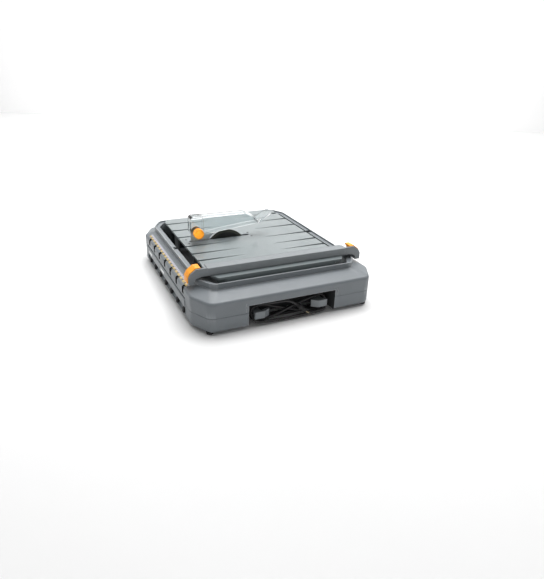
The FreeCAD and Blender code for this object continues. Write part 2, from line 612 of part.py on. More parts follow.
def cord_path(points):
    """Straight runs joined by tangent arcs; prints each arc's radius."""
    points = [V(*p) for p in points]
    edges, here, radii = [], points[0], []
    for before, corner, after in zip(points, points[1:], points[2:]):
        a, b = before - corner, after - corner
        back = 0.45 * min(a.Length, b.Length)
        a.normalize()
        b.normalize()
        turn = math.pi - a.getAngle(b)
        radius = back / math.tan(turn / 2)
        centre_way = (a + b).normalize()
        middle = corner + centre_way * (radius / math.cos(turn / 2) - radius)
        start, end = corner + a * back, corner + b * back
        edges.append(Part.LineSegment(here, start).toShape())
        edges.append(Part.Arc(start, middle, end).toShape())
        radii.append(round(radius, 1))
        here = end
    edges.append(Part.LineSegment(here, points[-1]).toShape())
    print("cord arc radii", radii)
    return Part.Wire(edges)


def cord_tube(points):
    """One stretch of the cord; prints its volume beside its section times its length."""
    path = cord_path(points)
    ring = Part.Wire(Part.makeCircle(CORD_R, V(*points[0]), V(*points[1]) - V(*points[0])))
    tube = path.makePipeShell([ring], True, False)
    print("cord tube", round(tube.Volume), "expected", round(math.pi * CORD_R ** 2 * path.Length))
    return tube


def cord_winding():
    """Outer shape of the cord wound as an eight round the two hooks."""
    loops, inner = [], []
    for x in (HOOK_LEFT, HOOK_RIGHT):
        loops.append(cyl_y(x, HOOK_Z, WIND_OUT, WIND_Y0, WIND_Y1))
        inner.append(cyl_y(x, HOOK_Z, WIND_IN, WIND_Y0 - 1, WIND_Y1 + 1))
    middle = (HOOK_LEFT + HOOK_RIGHT) / 2
    span = HOOK_RIGHT - HOOK_LEFT
    lean = math.degrees(math.asin(2 * (WIND_OUT - 5) / span))
    for sign in (-1, 1):
        bar = box(middle - span / 2, middle + span / 2, WIND_Y0, WIND_Y1, HOOK_Z - 5, HOOK_Z + 5)
        bar.rotate(V(middle, 0, HOOK_Z), V(0, 1, 0), sign * lean)
        loops.append(bar)
    return joined(loops).cut(inner)


def cord_hook(x, inner):
    """Stem from the back of the recess, with a pad whose wing slants back to the inner side."""
    stem = profile_y([
        (x - 10, HOOK_Z - 3), (x - 7, HOOK_Z - 5.5), (x + 7, HOOK_Z - 5.5), (x + 10, HOOK_Z - 3),
        (x + 10, HOOK_Z + 3), (x + 7, HOOK_Z + 5.5), (x - 7, HOOK_Z + 5.5), (x - 10, HOOK_Z + 3),
    ], RECESS_BACK, PAD_BACK - 1)
    plan = [
        (-PAD_HALF, PAD_FRONT), (PAD_HALF, PAD_FRONT), (27.0, -266.5), (27.0, -263.5), (19.0, -263.5),
        (PAD_HALF, PAD_BACK), (-PAD_HALF, PAD_BACK),
    ]
    corners = [V(x + inner * px, py, HOOK_Z - 8.3) for px, py in plan]
    pad = Part.Face(Part.makePolygon(corners + corners[:1])).extrude(V(0, 0, 17.3))
    upright = [e for e in pad.Edges if e.BoundBox.ZLength > 10 and e.BoundBox.YMax < PAD_BACK]
    return joined([stem, pad.makeFillet(1.5, upright)])


def placed_plug(shape):
    """From plug axes (length along +X) to where the plug hangs edge on in the recess."""
    shape.rotate(V(0, 0, 0), V(1, 0, 0), 90)
    shape.rotate(V(0, 0, 0), V(0, 1, 0), PLUG_LEAN)
    shape.translate(PLUG_AT)
    return shape


def plug_body():
    upper = [(0, 3.4), (8, 5.0), (12, 7.8), (30, 8.6), (34, 8.6)]
    wide = profile_y(upper + [(x, -z) for x, z in upper[::-1]], -5.4, 5.4)
    points = [(0, -3.4), (10, -5.4), (34, -5.4), (34, 5.4), (10, 5.4), (0, 3.4)]
    wire = Part.makePolygon([V(x, y, -12) for x, y in points + points[:1]])
    return placed_plug(wide.common(Part.Face(wire).extrude(V(0, 0, 24))))


def plug_pins():
    pins = [cyl_x(0, z, 2.0, 34.0, 50.0) for z in (-5.5, 5.5)]
    return placed_plug(Part.makeCompound(pins))


def rubber_foot(x, y):
    pad = Part.makeCone(FOOT_R - 1, FOOT_R, FOOT_H, V(x, y, 0), V(0, 0, 1))
    stem = cyl_z(x, y, 2.5, FOOT_H - 1, FOOT_H + WALL)
    return joined([pad, stem])


def pan_screw(x, y, z_head, length, r):
    """Screw from below with its head at z_head."""
    head = cyl_z(x, y, 4.2, z_head, z_head + 3.0)
    shank = cyl_z(x, y, r, z_head + 2.5, z_head + length)
    cross = [box(x - 2.4, x + 2.4, y - 0.5, y + 0.5, z_head - 1, z_head + 1.4)]
    cross.append(box(x - 0.5, x + 0.5, y - 2.4, y + 2.4, z_head - 1, z_head + 1.4))
    return head.fuse(shank).cut(cross)


def housing_screws():
    return Part.makeCompound([pan_screw(x, y, FOOT_H + 0.2, 50.0, 1.75) for x, y in SCREW_AT])


def table_screws():
    return Part.makeCompound([pan_screw(x, y, FOOT_H + 0.2, 97.5, 1.95) for x, y in POST_AT])


def drain_plug():
    stem = Part.makeCone(7.9, 7.2, 8.0, V(DRAIN_X, REAR_Y - 3.0, DRAIN_Z), V(0, -1, 0))
    head = cyl_y(DRAIN_X, DRAIN_Z, 11.0, REAR_Y - 3.0, REAR_Y - 0.4)
    tab = box(DRAIN_X - 1.5, DRAIN_X + 1.5, REAR_Y - 1.0, REAR_Y, DRAIN_Z - 8, DRAIN_Z + 8)
    return joined([stem, head, tab])


def tape_scale():
    """A strip on the sloping left shoulder, following its fall."""
    fall = (SHOULDER_TOP - WALL_TOP) / (HALF_X - RIM_X)
    low = WALL_TOP + (HALF_X - TAPE_X0) * fall
    high = WALL_TOP + (HALF_X - TAPE_X1) * fall
    section = [(-TAPE_X0, low), (-TAPE_X1, high), (-TAPE_X1, high + TAPE_T), (-TAPE_X0, low + TAPE_T)]
    return profile_y(section, TAPE_Y0, TAPE_Y1)


def side_ribs(side):
    points = [
        (-SIDE_X, 13.5), (-SIDE_X, 22.0), (-224.5, 33.0), (-PANEL_X - 0.6, 33.0),
        (-228.5, 14.0), (-HALF_X, 14.0), (-HALF_X, 13.5),
    ]
    ribs = [profile_y(points, y - 5.0, y + 5.0) for y in SLOT_YS]
    ribs = ribs if side < 0 else [mirrored(r) for r in ribs]
    return Part.makeCompound(ribs)


def carry_handle():
    outer = HANDLE_X
    section = [(-outer, 33.5), (-outer, 50.5), (-outer + 1.5, 52.6), (-outer + 5, 52.6), (-outer + 5, 33.5)]
    y0, y1 = PANEL_Y0 + 1, PANEL_Y1 - 1
    spans = ((y0, y0 + 12), (-101.5, -93.5), (60.5, 68.5), (y1 - 12, y1))
    posts = [box(-outer + 4, -PANEL_X, near, far, 36.0, 49.0) for near, far in spans]
    return joined([profile_y(section, y0, y1)] + posts)


def handle_pads():
    return Part.makeCompound([box(-SIDE_X, -HANDLE_X, y - 17.0, y + 17.0, 39.5, 45.5) for y in (9.0, 136.0)])


def handle_screws():
    """A screw from inside the panel wall into each end post."""
    screws = []
    for y in HANDLE_SCREW_YS:
        shank = cyl_x(y, HANDLE_SCREW_Z, 1.5, -HANDLE_X + 7, -PANEL_X + WALL)
        screws.append(shank.fuse(cyl_x(y, HANDLE_SCREW_Z, 3.2, -PANEL_X + WALL, -PANEL_X + WALL + 2.0)))
    return Part.makeCompound(screws)


def handle_screw_holes():
    return [cyl_x(y, HANDLE_SCREW_Z, 1.5, -HANDLE_X + 7, -200.0) for y in HANDLE_SCREW_YS]


def fence_bar():
    outer = box(-FENCE_X, FENCE_X, FENCE_Y0, FENCE_Y1, FENCE_BOTTOM, FENCE_TOP)
    hollow = box(-FENCE_X - 1, FENCE_X + 1, FENCE_Y0 + 3, FENCE_Y1 - 3, FENCE_BOTTOM - 1, FENCE_TOP - 3)
    groove = box(-FENCE_X - 1, FENCE_X + 1, FENCE_Y1 - 3.2, FENCE_Y1 - 1.6, FENCE_TOP - 0.8, FENCE_TOP + 1)
    return outer.cut([hollow, groove])


def cap_block(out, y0, y1):
    """Hook-shaped end of the fence, with its outer side moved out by a distance."""
    return profile_y(moved_out(CAP_SIDE, out) + CAP_UNDER, y0, y1)


def fence_end_left():
    cheek = cap_block(0, FENCE_Y0, CHEEK_Y)
    across = [e for e in cheek.Edges if e.BoundBox.YLength > 1]
    knees = [e for e in across if e.BoundBox.XMax < -216 and e.BoundBox.ZMin > 100]
    cheek = cheek.makeFillet(3.0, knees)
    pocket = box(-240.0, -POCKET_X, CHEEK_Y, FENCE_Y1 + 1, POCKET_Z, 140.0)
    core = cap_block(LEVER_IN - 0.5, CHEEK_Y, FENCE_Y1).cut(pocket)
    tenon = box(-FENCE_X - 1, -FENCE_X + 14, FENCE_Y0 + 3, FENCE_Y1 - 3, FENCE_BOTTOM, FENCE_TOP - 3)
    glide = box(-198.5, -192.5, FENCE_Y1 - 13, FENCE_Y1, LEDGE_TOP + 0.3, FENCE_BOTTOM + 1)
    end = joined([cheek, core, tenon, glide])
    return end.cut([
        cyl_y(-PIN_X, PIN_Z, PIN_R, FENCE_Y0 + 1, FENCE_Y1),
        cyl_z(-FENCE_SCREW_X, FENCE_SCREW_Y, 1.5, FENCE_BOTTOM - 1, FENCE_TOP),
        cyl_z(-FENCE_SCREW_X, FENCE_SCREW_Y, 3.2, FENCE_BOTTOM - 1, FENCE_BOTTOM + 1.5),
    ])


def fence_lever_left():
    """Cam lever bent over the fence end, turning on a pin along Y."""
    band = profile_y(moved_out(CAP_SIDE, LEVER_OUT) + moved_out(CAP_SIDE, LEVER_IN)[::-1], LEVER_Y0, LEVER_Y1)
    band = band.common(box(-240.0, -LEVER_TIP_X, LEVER_Y0, LEVER_Y1, LEVER_TIP_Z, 140.0))
    hub = cyl_y(-PIN_X, PIN_Z, LEVER_HUB_R, LEVER_Y0, LEVER_Y1)
    foot = [(-PIN_X - LEVER_HUB_R, PIN_Z), (-PIN_X + LEVER_HUB_R, PIN_Z)]
    lug = profile_y(foot + [(-PIN_X + 3.0, 125.0), (-PIN_X - 6.0, 122.0)], LEVER_Y0, LEVER_Y1)
    bore = cyl_y(-PIN_X, PIN_Z, PIN_R + RUN_FIT, LEVER_Y0 - 1, LEVER_Y1 + 1)
    return joined([band, hub, lug]).cut(bore)


def lever_pin_left():
    return joined([
        cyl_y(-PIN_X, PIN_Z, PIN_R, FENCE_Y0 + 1, LEVER_Y1 + 0.3),
        cyl_y(-PIN_X, PIN_Z, 3.6, LEVER_Y1 + 0.2, LEVER_Y1 + 1.8),
    ])


def fence_screws():
    screws = []
    for x in (-FENCE_SCREW_X, FENCE_SCREW_X):
        head = cyl_z(x, FENCE_SCREW_Y, 3.0, FENCE_BOTTOM + 0.2, FENCE_BOTTOM + 1.5)
        screws.append(head.fuse(cyl_z(x, FENCE_SCREW_Y, 1.45, FENCE_BOTTOM + 1.4, FENCE_TOP - 3.0)))
    return Part.makeCompound(screws)


def blade_guard():
    shell = profile_y(GUARD_SIDE, GUARD_Y0, GUARD_Y1)
    inside = profile_y(GUARD_HOLLOW, GUARD_Y0 + GUARD_T, GUARD_Y1 - GUARD_T)
    slot = box(-160.0, -115.5, 22.0, 31.0, 100.0, 166.0)
    lip = profile_y(GUARD_LIP, GUARD_Y0 - 4, GUARD_Y1 + 4)
    guard = joined([shell.cut([inside, slot]), lip])
    return guard.cut([
        cyl_y(PIVOT_X, PIVOT_Z, BOLT_R + RUN_FIT, 0, 60),
        cyl_y(PIVOT_X, PIVOT_Z, 6.2, GUARD_Y1 - 5.0, GUARD_Y1 + 1),
    ])


def guard_knob():
    knob = cyl_y(PIVOT_X, PIVOT_Z, KNOB_R, KNOB_Y0, KNOB_Y1)
    rim = [e for e in knob.Edges if abs(e.BoundBox.YMin - KNOB_Y0) < 0.01 and e.BoundBox.YLength < 0.01]
    knob = knob.makeFillet(1.5, rim)
    stem = cyl_y(PIVOT_X, PIVOT_Z, 7.0, KNOB_Y1 - 1, WASHER_Y0 - 0.1)
    return joined([knob, stem]).cut(cyl_y(PIVOT_X, PIVOT_Z, BOLT_R, KNOB_Y0 + 6, 12.0))


def guard_bolt():
    return cyl_y(PIVOT_X, PIVOT_Z, BOLT_R, KNOB_Y0 + 6, GUARD_Y1 + 2.0)


def guard_washer():
    return tube_y(PIVOT_X, PIVOT_Z, 9.0, BOLT_R + RUN_FIT, WASHER_Y0, GUARD_Y0)


def guard_nut():
    nut = hexagon(PIVOT_X, PIVOT_Z, 10.0, GUARD_Y1 - 5.0, GUARD_Y1)
    return nut.cut(cyl_y(PIVOT_X, PIVOT_Z, BOLT_R + RUN_FIT, 30, 45))


def main():
    parts = {
        "base_tray": base_tray(),
        "upper_housing": upper_housing().cut(handle_screw_holes()),
        "saw_table": saw_table(),
        "blade_insert": blade_insert(),
        "insert_screws": insert_screws(),
        "riving_knife": riving_knife(),
        "knife_bracket": knife_bracket(),
        "knife_screws": knife_screws(),
        "saw_blade": blade(),
        "inner_flange": inner_flange(),
        "outer_flange": outer_flange(),
        "arbor_nut": arbor_nut(),
        "motor_shaft": motor_shaft(),
        "motor_rotor": rotor(),
        "cooling_fan": cooling_fan(),
        "motor_casing": motor_casing(),
        "motor_stator": motor_stator(),
        "motor_cap_front": front_end_cap(),
        "motor_cap_rear": rear_end_cap(),
        "bearing_front": bearing(MOTOR_Y0 + 6.5, SHAFT_R + RUN_FIT),
        "bearing_rear": bearing(3.0, JOURNAL_R + RUN_FIT),
        "shaft_seal": shaft_seal(),
        "motor_saddle_front": motor_saddle(SADDLE_YS[0]),
        "motor_saddle_rear": motor_saddle(SADDLE_YS[1]),
        "splash_panel": splash_panel(),
        "run_capacitor": run_capacitor(),
        "capacitor_clip": capacitor_clip(),
        "terminal_block": terminal_block(),
        "switch_housing": rocker_bezel(),
        "switch_rocker": rocker_switch(),
        "strain_relief": strain_relief(),
        "cord_hook_left": cord_hook(HOOK_LEFT, 1),
        "cord_hook_right": cord_hook(HOOK_RIGHT, -1),
        "power_cord": cord_tube(CORD_ROUTE),
        "cord_tail": cord_tube(TAIL_ROUTE),
        "plug_body": plug_body(),
        "plug_pins": plug_pins(),
        "housing_screws": housing_screws(),
        "table_screws": table_screws(),
        "drain_plug": drain_plug(),
        "tape_scale": tape_scale(),
        "side_ribs_left": side_ribs(-1),
        "side_ribs_right": side_ribs(1),
        "carry_handle": carry_handle().cut(handle_screw_holes()),
        "handle_pads": handle_pads(),
        "handle_screws": handle_screws(),
        "fence_bar": fence_bar(),
        "fence_end_left": fence_end_left(),
        "fence_end_right": mirrored(fence_end_left()),
        "fence_lever_left": fence_lever_left(),
        "fence_lever_right": mirrored(fence_lever_left()),
        "lever_pins": Part.makeCompound([lever_pin_left(), mirrored(lever_pin_left())]),
        "fence_screws": fence_screws(),
        "blade_guard": blade_guard(),
        "guard_knob": guard_knob(),
        "guard_bolt": guard_bolt(),
        "guard_washer": guard_washer(),
        "guard_nut": guard_nut(),
    }
    parts["cord_winding"] = cord_winding().cut([parts["power_cord"], parts["cord_tail"]])
    parts["rubber_feet"] = Part.makeCompound([rubber_foot(x, y) for x, y in FOOT_AT])
    os.makedirs("parts", exist_ok=True)
    for name, shape in parts.items():
        solids = len(shape.Solids)
        if not shape.isValid() or solids < 1:
            print("PROBLEM", name, shape.isValid(), solids)
        shape.translate(V(0, -MIDDLE_Y, 0))
        shape.exportStep(f"parts/{name}.step")
        span = shape.BoundBox
        print(f"{name:20s} {solids} {shape.Volume / 1000:9.1f} cm3 z {span.ZMin:.1f}..{span.ZMax:.1f}")
    print(len(parts), "nodes")


main()
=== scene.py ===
"""Looks of a bench-top wet tile saw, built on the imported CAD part.

Metres, +Z up, +X to the operator's right, +Y away from the operator, as in the CAD frame.
"""

import json
import math

import bmesh
import bpy
from mathutils import Matrix, Vector


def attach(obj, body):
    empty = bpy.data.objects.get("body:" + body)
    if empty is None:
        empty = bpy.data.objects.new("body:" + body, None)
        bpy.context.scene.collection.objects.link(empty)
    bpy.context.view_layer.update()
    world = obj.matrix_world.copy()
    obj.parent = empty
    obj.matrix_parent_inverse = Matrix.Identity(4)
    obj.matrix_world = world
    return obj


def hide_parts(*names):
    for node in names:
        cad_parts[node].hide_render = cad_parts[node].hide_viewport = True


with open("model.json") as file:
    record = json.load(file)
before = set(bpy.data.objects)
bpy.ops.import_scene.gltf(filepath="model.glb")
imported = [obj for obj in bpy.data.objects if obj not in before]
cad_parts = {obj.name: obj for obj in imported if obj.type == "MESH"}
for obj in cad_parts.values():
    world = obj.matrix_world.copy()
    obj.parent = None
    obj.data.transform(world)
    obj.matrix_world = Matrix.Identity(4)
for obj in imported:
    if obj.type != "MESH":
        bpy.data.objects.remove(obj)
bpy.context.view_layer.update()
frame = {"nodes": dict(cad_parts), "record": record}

# Camera, as a place round the saw
AZIMUTH, ELEVATION, ROLL = -26.26, 25.63, 2.14
DISTANCE = 1.0749
AIM = (-0.0706, -0.2890, 0.1006)
LENS, SENSOR = 31.19, 36.0

# The part is drawn from the middle of the table's opening, then moved by this much along Y
MOVED_Y = 0.0143

# Power cord, drawn like the part and moved with it
CORD_RADIUS = 0.0032
CORD_LEAD = [
    (-0.087, -0.246, 0.0512), (-0.0475, -0.2475, 0.0476), (-0.0075, -0.247, 0.0454),
    (0.0305, -0.245, 0.045), (0.0694, -0.243, 0.0432),
]
CORD_TAIL = [
    (-0.0585, -0.2610, 0.0445), (-0.028, -0.2685, 0.0480), (-0.008, -0.271, 0.0475),
    (0.006, -0.2719, 0.0375),
]
HOOK_LEFT, HOOK_RIGHT, HOOK_Z = -0.0847, 0.0789, 0.026

# Turns of the winding, front ones last: the way to the left hook, then the way back to the right one.
# A way to the left that ends below the hooks makes a loop, and one that ends above them makes an eight.
WINDING = [
    (
        [(0.0265, -0.2440, 0.0070), (-0.0355, -0.2445, 0.0080)],
        [(-0.0295, -0.2360, 0.0400), (0.0165, -0.2390, 0.0400)],
    ),
    (
        [(0.0265, -0.2555, 0.0085), (-0.0355, -0.2560, 0.0090)],
        [(-0.0295, -0.2450, 0.0370), (0.0165, -0.2475, 0.0370)],
    ),
    (
        [(0.0265, -0.2660, 0.0120), (-0.0295, -0.2570, 0.0290)],
        [(-0.0355, -0.2660, 0.0160), (0.0165, -0.2625, 0.0330)],
    ),
    (
        [(0.0265, -0.2766, 0.0068), (-0.0355, -0.2766, 0.0066)],
        [],
    ),
]
# First turn's depth, and the step to the next one
FIRST_DEPTH, DEPTH_STEP = -0.2335, 0.0073
# How far forward the first turn hangs under a hook, and how much further each next one does
FIRST_FORWARD, FORWARD_STEP = 0.0090, 0.0040
# A turn's radius on a hook and how much smaller every second one is; the left hook's extra depth; the slack
TURN_RADIUS, TIGHTER, LEFT_BEHIND, SLACK = 0.0170, 0.0012, 0.0012, 0.0015

PLUG_AT, PLUG_LEAN = (0.006, -0.2576, 0.0375), 40.0
GLAND_AT = (-0.114, -0.2317, 0.0512)

# Guard pivot and blade centre
PIVOT = (-0.1355, 0.0, 0.1337)
KNOB_R, KNOB_Y0, KNOB_Y1 = 0.013, 0.0063, 0.0233
BLADE_AT = (-0.0515, 0.0408, 0.0696)

# Black painted shade in the side walls' slots: first slot's middle, spacing, number and width; outer face,
# depth and lower end
SLOT_FIRST, SLOT_PITCH, SLOTS, SLOT_WIDTH = -0.1597, 0.0535, 7, 0.0134
SLOT_FACE, SLOT_DEPTH, SLOT_LOW = 0.2307, 0.0085, 0.0612

# Seam between the tray and the upper housing, and how far its shade reaches to each side
SEAM_Z, SEAM_SHADE = 0.0411, 0.0014

# Painted shade inside the cord recess, from just behind its front edge
RECESS_SHADE = {"X": (-0.1145, 0.108), "Y": (-0.2660, -0.2068), "Z": (-0.001, 0.0592)}

# Painted light in the water space under the table, inside the walls; its corners are cut where |x| + |y| passes
# the last number
TRAY_PAINTED_LIGHT = {"X": (-0.202, 0.202), "Y": (-0.2045, 0.2480), "Z": (0.0085, 0.0900)}
TRAY_CORNER = 0.380

# Printed tape: its outer and inner edge, and where its first centimetre starts
TAPE_OUT, TAPE_IN, TAPE_START = -0.2245, -0.215, -0.1727
CENTIMETRE = 0.010

# CAD pieces whose finish is not the plain one of their slot: the insert screws are painted black to stand for
# the shade in the insert's holes
OTHER_FINISH = {"insert_screws": "hole_shade_black"}


# ---------------------------------------------------------------- materials

class Look:
    """A material's node tree, with short calls for the parts that the finishes share."""

    def __init__(self, name, color, roughness, metallic=0.0):
        self.name = name
        self.material = bpy.data.materials.new(name)
        self.material.use_nodes = True
        self.tree = self.material.node_tree
        self.shader = self.tree.nodes["Principled BSDF"]
        self.color = color
        self.set("Base Color", (*color, 1.0))
        self.set("Roughness", roughness)
        self.set("Metallic", metallic)
        self.place = self.node("ShaderNodeTexCoord").outputs["Object"]
        self.normal = None

    def set(self, socket, value):
        self.shader.inputs[socket].default_value = value

    def node(self, kind, **values):
        made = self.tree.nodes.new(kind)
        for key, value in values.items():
            setattr(made, key, value)
        return made

    def link(self, source, target):
        self.tree.links.new(source, target)

    def stretched(self, scale):
        """Object coordinates scaled unevenly, for a grain with a direction."""
        mapping = self.node("ShaderNodeMapping")
        mapping.inputs["Scale"].default_value = scale
        self.link(self.place, mapping.inputs["Vector"])
        return mapping.outputs["Vector"]

    def noise(self, scale, detail=2.0, vector=None):
        made = self.node("ShaderNodeTexNoise")
        made.inputs["Scale"].default_value = scale
        made.inputs["Detail"].default_value = detail
        self.link(vector or self.place, made.inputs["Vector"])
        return made.outputs["Fac"]

    def ramp(self, source, low, high, start=(0, 0, 0, 1), end=(1, 1, 1, 1)):
        made = self.node("ShaderNodeValToRGB")
        made.color_ramp.elements[0].position, made.color_ramp.elements[1].position = low, high
        made.color_ramp.elements[0].color, made.color_ramp.elements[1].color = start, end
        self.link(source, made.inputs["Fac"])
        return made.outputs["Color"]

    def mottled(self, scale, spread, detail=4.0):
        """Base colour that drifts lighter and darker over the surface."""
        dark = (*[c * (1 - spread) for c in self.color], 1.0)
        light = (*[min(1.0, c * (1 + spread)) for c in self.color], 1.0)
        self.drift = self.ramp(self.noise(scale, detail), 0.3, 0.7, dark, light)
        self.link(self.drift, self.shader.inputs["Base Color"])
        return self

    def worn_and_lit_edges(self, color, radius, amount=0.6):
        """Edges painted lighter where a rounded normal leaves the true one: wear, and where strong, a painted
        highlight.
        """
        bevel = self.node("ShaderNodeBevel", samples=4)
        bevel.inputs["Radius"].default_value = radius
        true = self.node("ShaderNodeNewGeometry").outputs["True Normal"]
        dot = self.node("ShaderNodeVectorMath", operation="DOT_PRODUCT")
        self.link(bevel.outputs["Normal"], dot.inputs[0])
        self.link(true, dot.inputs[1])
        self.edge = self.ramp(dot.outputs["Value"], 0.86, 0.995, (amount,) * 3 + (1,), (0, 0, 0, 1))
        return self.painted(self.edge, color)

    def grained(self, scale, distance, strength=0.3, vector=None):
        """Fine bump over the surface."""
        bump = self.node("ShaderNodeBump")
        bump.inputs["Strength"].default_value = strength
        bump.inputs["Distance"].default_value = distance
        self.link(self.noise(scale, 3.0, vector), bump.inputs["Height"])
        if self.normal:
            self.link(self.normal, bump.inputs["Normal"])
        self.normal = bump.outputs["Normal"]
        self.link(self.normal, self.shader.inputs["Normal"])
        return self

    def compared(self, operation, first, second):
        """A maths node over two sockets or numbers."""
        made = self.node("ShaderNodeMath", operation=operation)
        for socket, value in zip(made.inputs, (first, second)):
            if isinstance(value, (int, float)):
                socket.default_value = value
            else:
                self.link(value, socket)
        return made.outputs[0]

    def within(self, place, low, high):
        """1 where a socket lies between two numbers."""
        return self.both(self.compared("GREATER_THAN", place, low), self.compared("LESS_THAN", place, high))

    def inside_box(self, box):
        return self.both(*(self.within(self.along(axis), *box[axis]) for axis in "XYZ"))

    def both(self, first, *others):
        """1 where all the masks are 1."""
        for other in others:
            first = self.compared("MULTIPLY", first, other)
        return first

    def painted(self, mask, color):
        """A second colour laid over the first where the mask is 1."""
        mix = self.node("ShaderNodeMix", data_type="RGBA")
        self.link(mask, mix.inputs["Factor"])
        self.link(self.drift, mix.inputs[6])
        mix.inputs[7].default_value = (*color, 1.0)
        self.drift = mix.outputs[2]
        self.link(self.drift, self.shader.inputs["Base Color"])
        return self

    def along(self, axis):
        split = self.node("ShaderNodeSeparateXYZ")
        self.link(self.place, split.inputs[0])
        return split.outputs[axis]

    def rough_between(self, low, high, scale, vector=None):
        spread = self.node("ShaderNodeMapRange")
        spread.inputs["To Min"].default_value = low
        spread.inputs["To Max"].default_value = high
        self.link(self.noise(scale, 3.0, vector), spread.inputs["Value"])
        self.link(spread.outputs["Result"], self.shader.inputs["Roughness"])
        return self


def moulded(name, color, roughness, edge=None, grain=1400.0, spread=0.04, rubbed_and_lit=0.5):
    look = Look(name, color, roughness).mottled(22.0, spread)
    look.worn_and_lit_edges(edge or [min(1.0, c * 1.5 + 0.03) for c in color], 0.0014, rubbed_and_lit)
    return look.grained(grain, 0.0002, 0.25).rough_between(roughness - 0.06, roughness + 0.08, 60.0)


def brushed(name, color, roughness, along):
    look = Look(name, color, roughness, 1.0).mottled(40.0, 0.06)
    lines = look.stretched(along)
    return look.grained(1.0, 0.0001, 0.2, lines).rough_between(roughness - 0.08, roughness + 0.12, 1.0, lines)


def orange_plastic():
    look = moulded("orange_plastic", (1.0, 0.36, 0.022), 0.40, (1.0, 0.52, 0.06), spread=0.03)
    look.set("Specular IOR Level", 0.25)
    return look


def housing_plastic():
    """Grey moulded plastic with a dark seam; its edges painted much lighter as a painted highlight with some
    wear; painted shade in the cord recess, black painted shade in the side slots, and painted light making the
    tray's inside paler.
    """
    # Edges painted much lighter here: a painted highlight along the rim and shoulders, with some wear
    look = moulded("housing_plastic", (0.156, 0.174, 0.188), 0.42, (0.50, 0.52, 0.53), rubbed_and_lit=0.9)
    seam = look.within(look.along("Z"), SEAM_Z - SEAM_SHADE, SEAM_Z + SEAM_SHADE)
    look.painted(seam, (0.150, 0.167, 0.180))
    across = look.compared("ABSOLUTE", look.along("X"), 0.0)
    past_first = look.compared("SUBTRACT", look.along("Y"), SLOT_FIRST - 0.5 * SLOT_WIDTH)
    slots = look.both(
        look.compared("LESS_THAN", look.compared("MODULO", past_first, SLOT_PITCH), SLOT_WIDTH),
        look.within(past_first, 0.0, (SLOTS - 1) * SLOT_PITCH + SLOT_WIDTH),
        look.within(across, SLOT_FACE - SLOT_DEPTH, SLOT_FACE),
        look.compared("GREATER_THAN", look.along("Z"), SLOT_LOW),
    )
    # Slots painted black: painted shade inside them
    look.painted(slots, (0.004, 0.004, 0.004))
    corner = look.compared("ADD", across, look.compared("ABSOLUTE", look.along("Y"), 0.0))
    inside = look.both(look.inside_box(TRAY_PAINTED_LIGHT), look.compared("LESS_THAN", corner, TRAY_CORNER))
    # Painted light: the tray's inside made paler than its shade would be
    look.painted(inside, (0.42, 0.44, 0.45))
    # Painted shade: the cord recess's inside darkened
    return look.painted(look.inside_box(RECESS_SHADE), (0.045, 0.048, 0.051))


def coated_table():
    look = Look("table_coat", (0.178, 0.205, 0.210), 0.36).mottled(9.0, 0.05)
    look.worn_and_lit_edges((0.42, 0.45, 0.46), 0.0010, 0.6)
    look.set("Coat Weight", 0.12)
    return look.grained(900.0, 0.00015, 0.2).rough_between(0.30, 0.48, 14.0)


def satin_insert():
    """Ground plate under a thin grey coat, with its grinding lines along the cut."""
    look = Look("insert_steel", (0.225, 0.255, 0.265), 0.38, 0.25).mottled(30.0, 0.06)
    lines = look.stretched((60.0, 1800.0, 1800.0))
    look.worn_and_lit_edges((0.5, 0.52, 0.53), 0.0008, 0.6)
    return look.grained(1.0, 0.0001, 0.2, lines).rough_between(0.32, 0.5, 1.0, lines)


def printed_tape():
    """Yellow outer band and pale inner band, with a tick each centimetre and short ones between."""
    look = Look("tape", (0.38, 0.375, 0.44), 0.40).mottled(60.0, 0.04)
    middle = 0.5 * (TAPE_OUT + TAPE_IN)
    across, along = look.along("X"), look.compared("SUBTRACT", look.along("Y"), TAPE_START)
    outer = look.compared("LESS_THAN", across, middle)
    look.painted(outer, (0.56, 0.40, 0.13))
    blocks = look.compared("LESS_THAN", look.compared("MODULO", along, 2 * CENTIMETRE), 0.7 * CENTIMETRE)
    look.painted(look.compared("MULTIPLY", blocks, outer), (0.10, 0.10, 0.10))
    long_ticks = look.compared("LESS_THAN", look.compared("MODULO", along, CENTIMETRE), 0.0009)
    short_ticks = look.compared("LESS_THAN", look.compared("MODULO", along, 0.25 * CENTIMETRE), 0.0005)
    edge = look.compared("LESS_THAN", across, TAPE_OUT + 0.0025)
    look.painted(long_ticks, (0.05, 0.05, 0.05))
    look.painted(look.compared("MULTIPLY", short_ticks, edge), (0.05, 0.05, 0.05))
    return look.grained(900.0, 0.0001, 0.15).rough_between(0.3, 0.45, 50.0)


def rimmed_blade():
    """Black steel core with an olive-grey sintered rim and a ground ring inside it."""
    look = Look("blade_core", (0.014, 0.016, 0.015), 0.40).mottled(60.0, 0.2)
    offset = look.node("ShaderNodeVectorMath", operation="DISTANCE")
    look.link(look.place, offset.inputs[0])
    offset.inputs[1].default_value = BLADE_AT
    reach = offset.outputs["Value"]
    look.painted(look.compared("GREATER_THAN", reach, 0.0500), (0.050, 0.055, 0.040))
    look.painted(look.ramp(look.noise(2600.0, 2.0), 0.58, 0.70, end=(0.3, 0.3, 0.3, 1)), (0.12, 0.125, 0.10))
    return look.grained(2200.0, 0.0002, 0.35).rough_between(0.34, 0.6, 120.0)


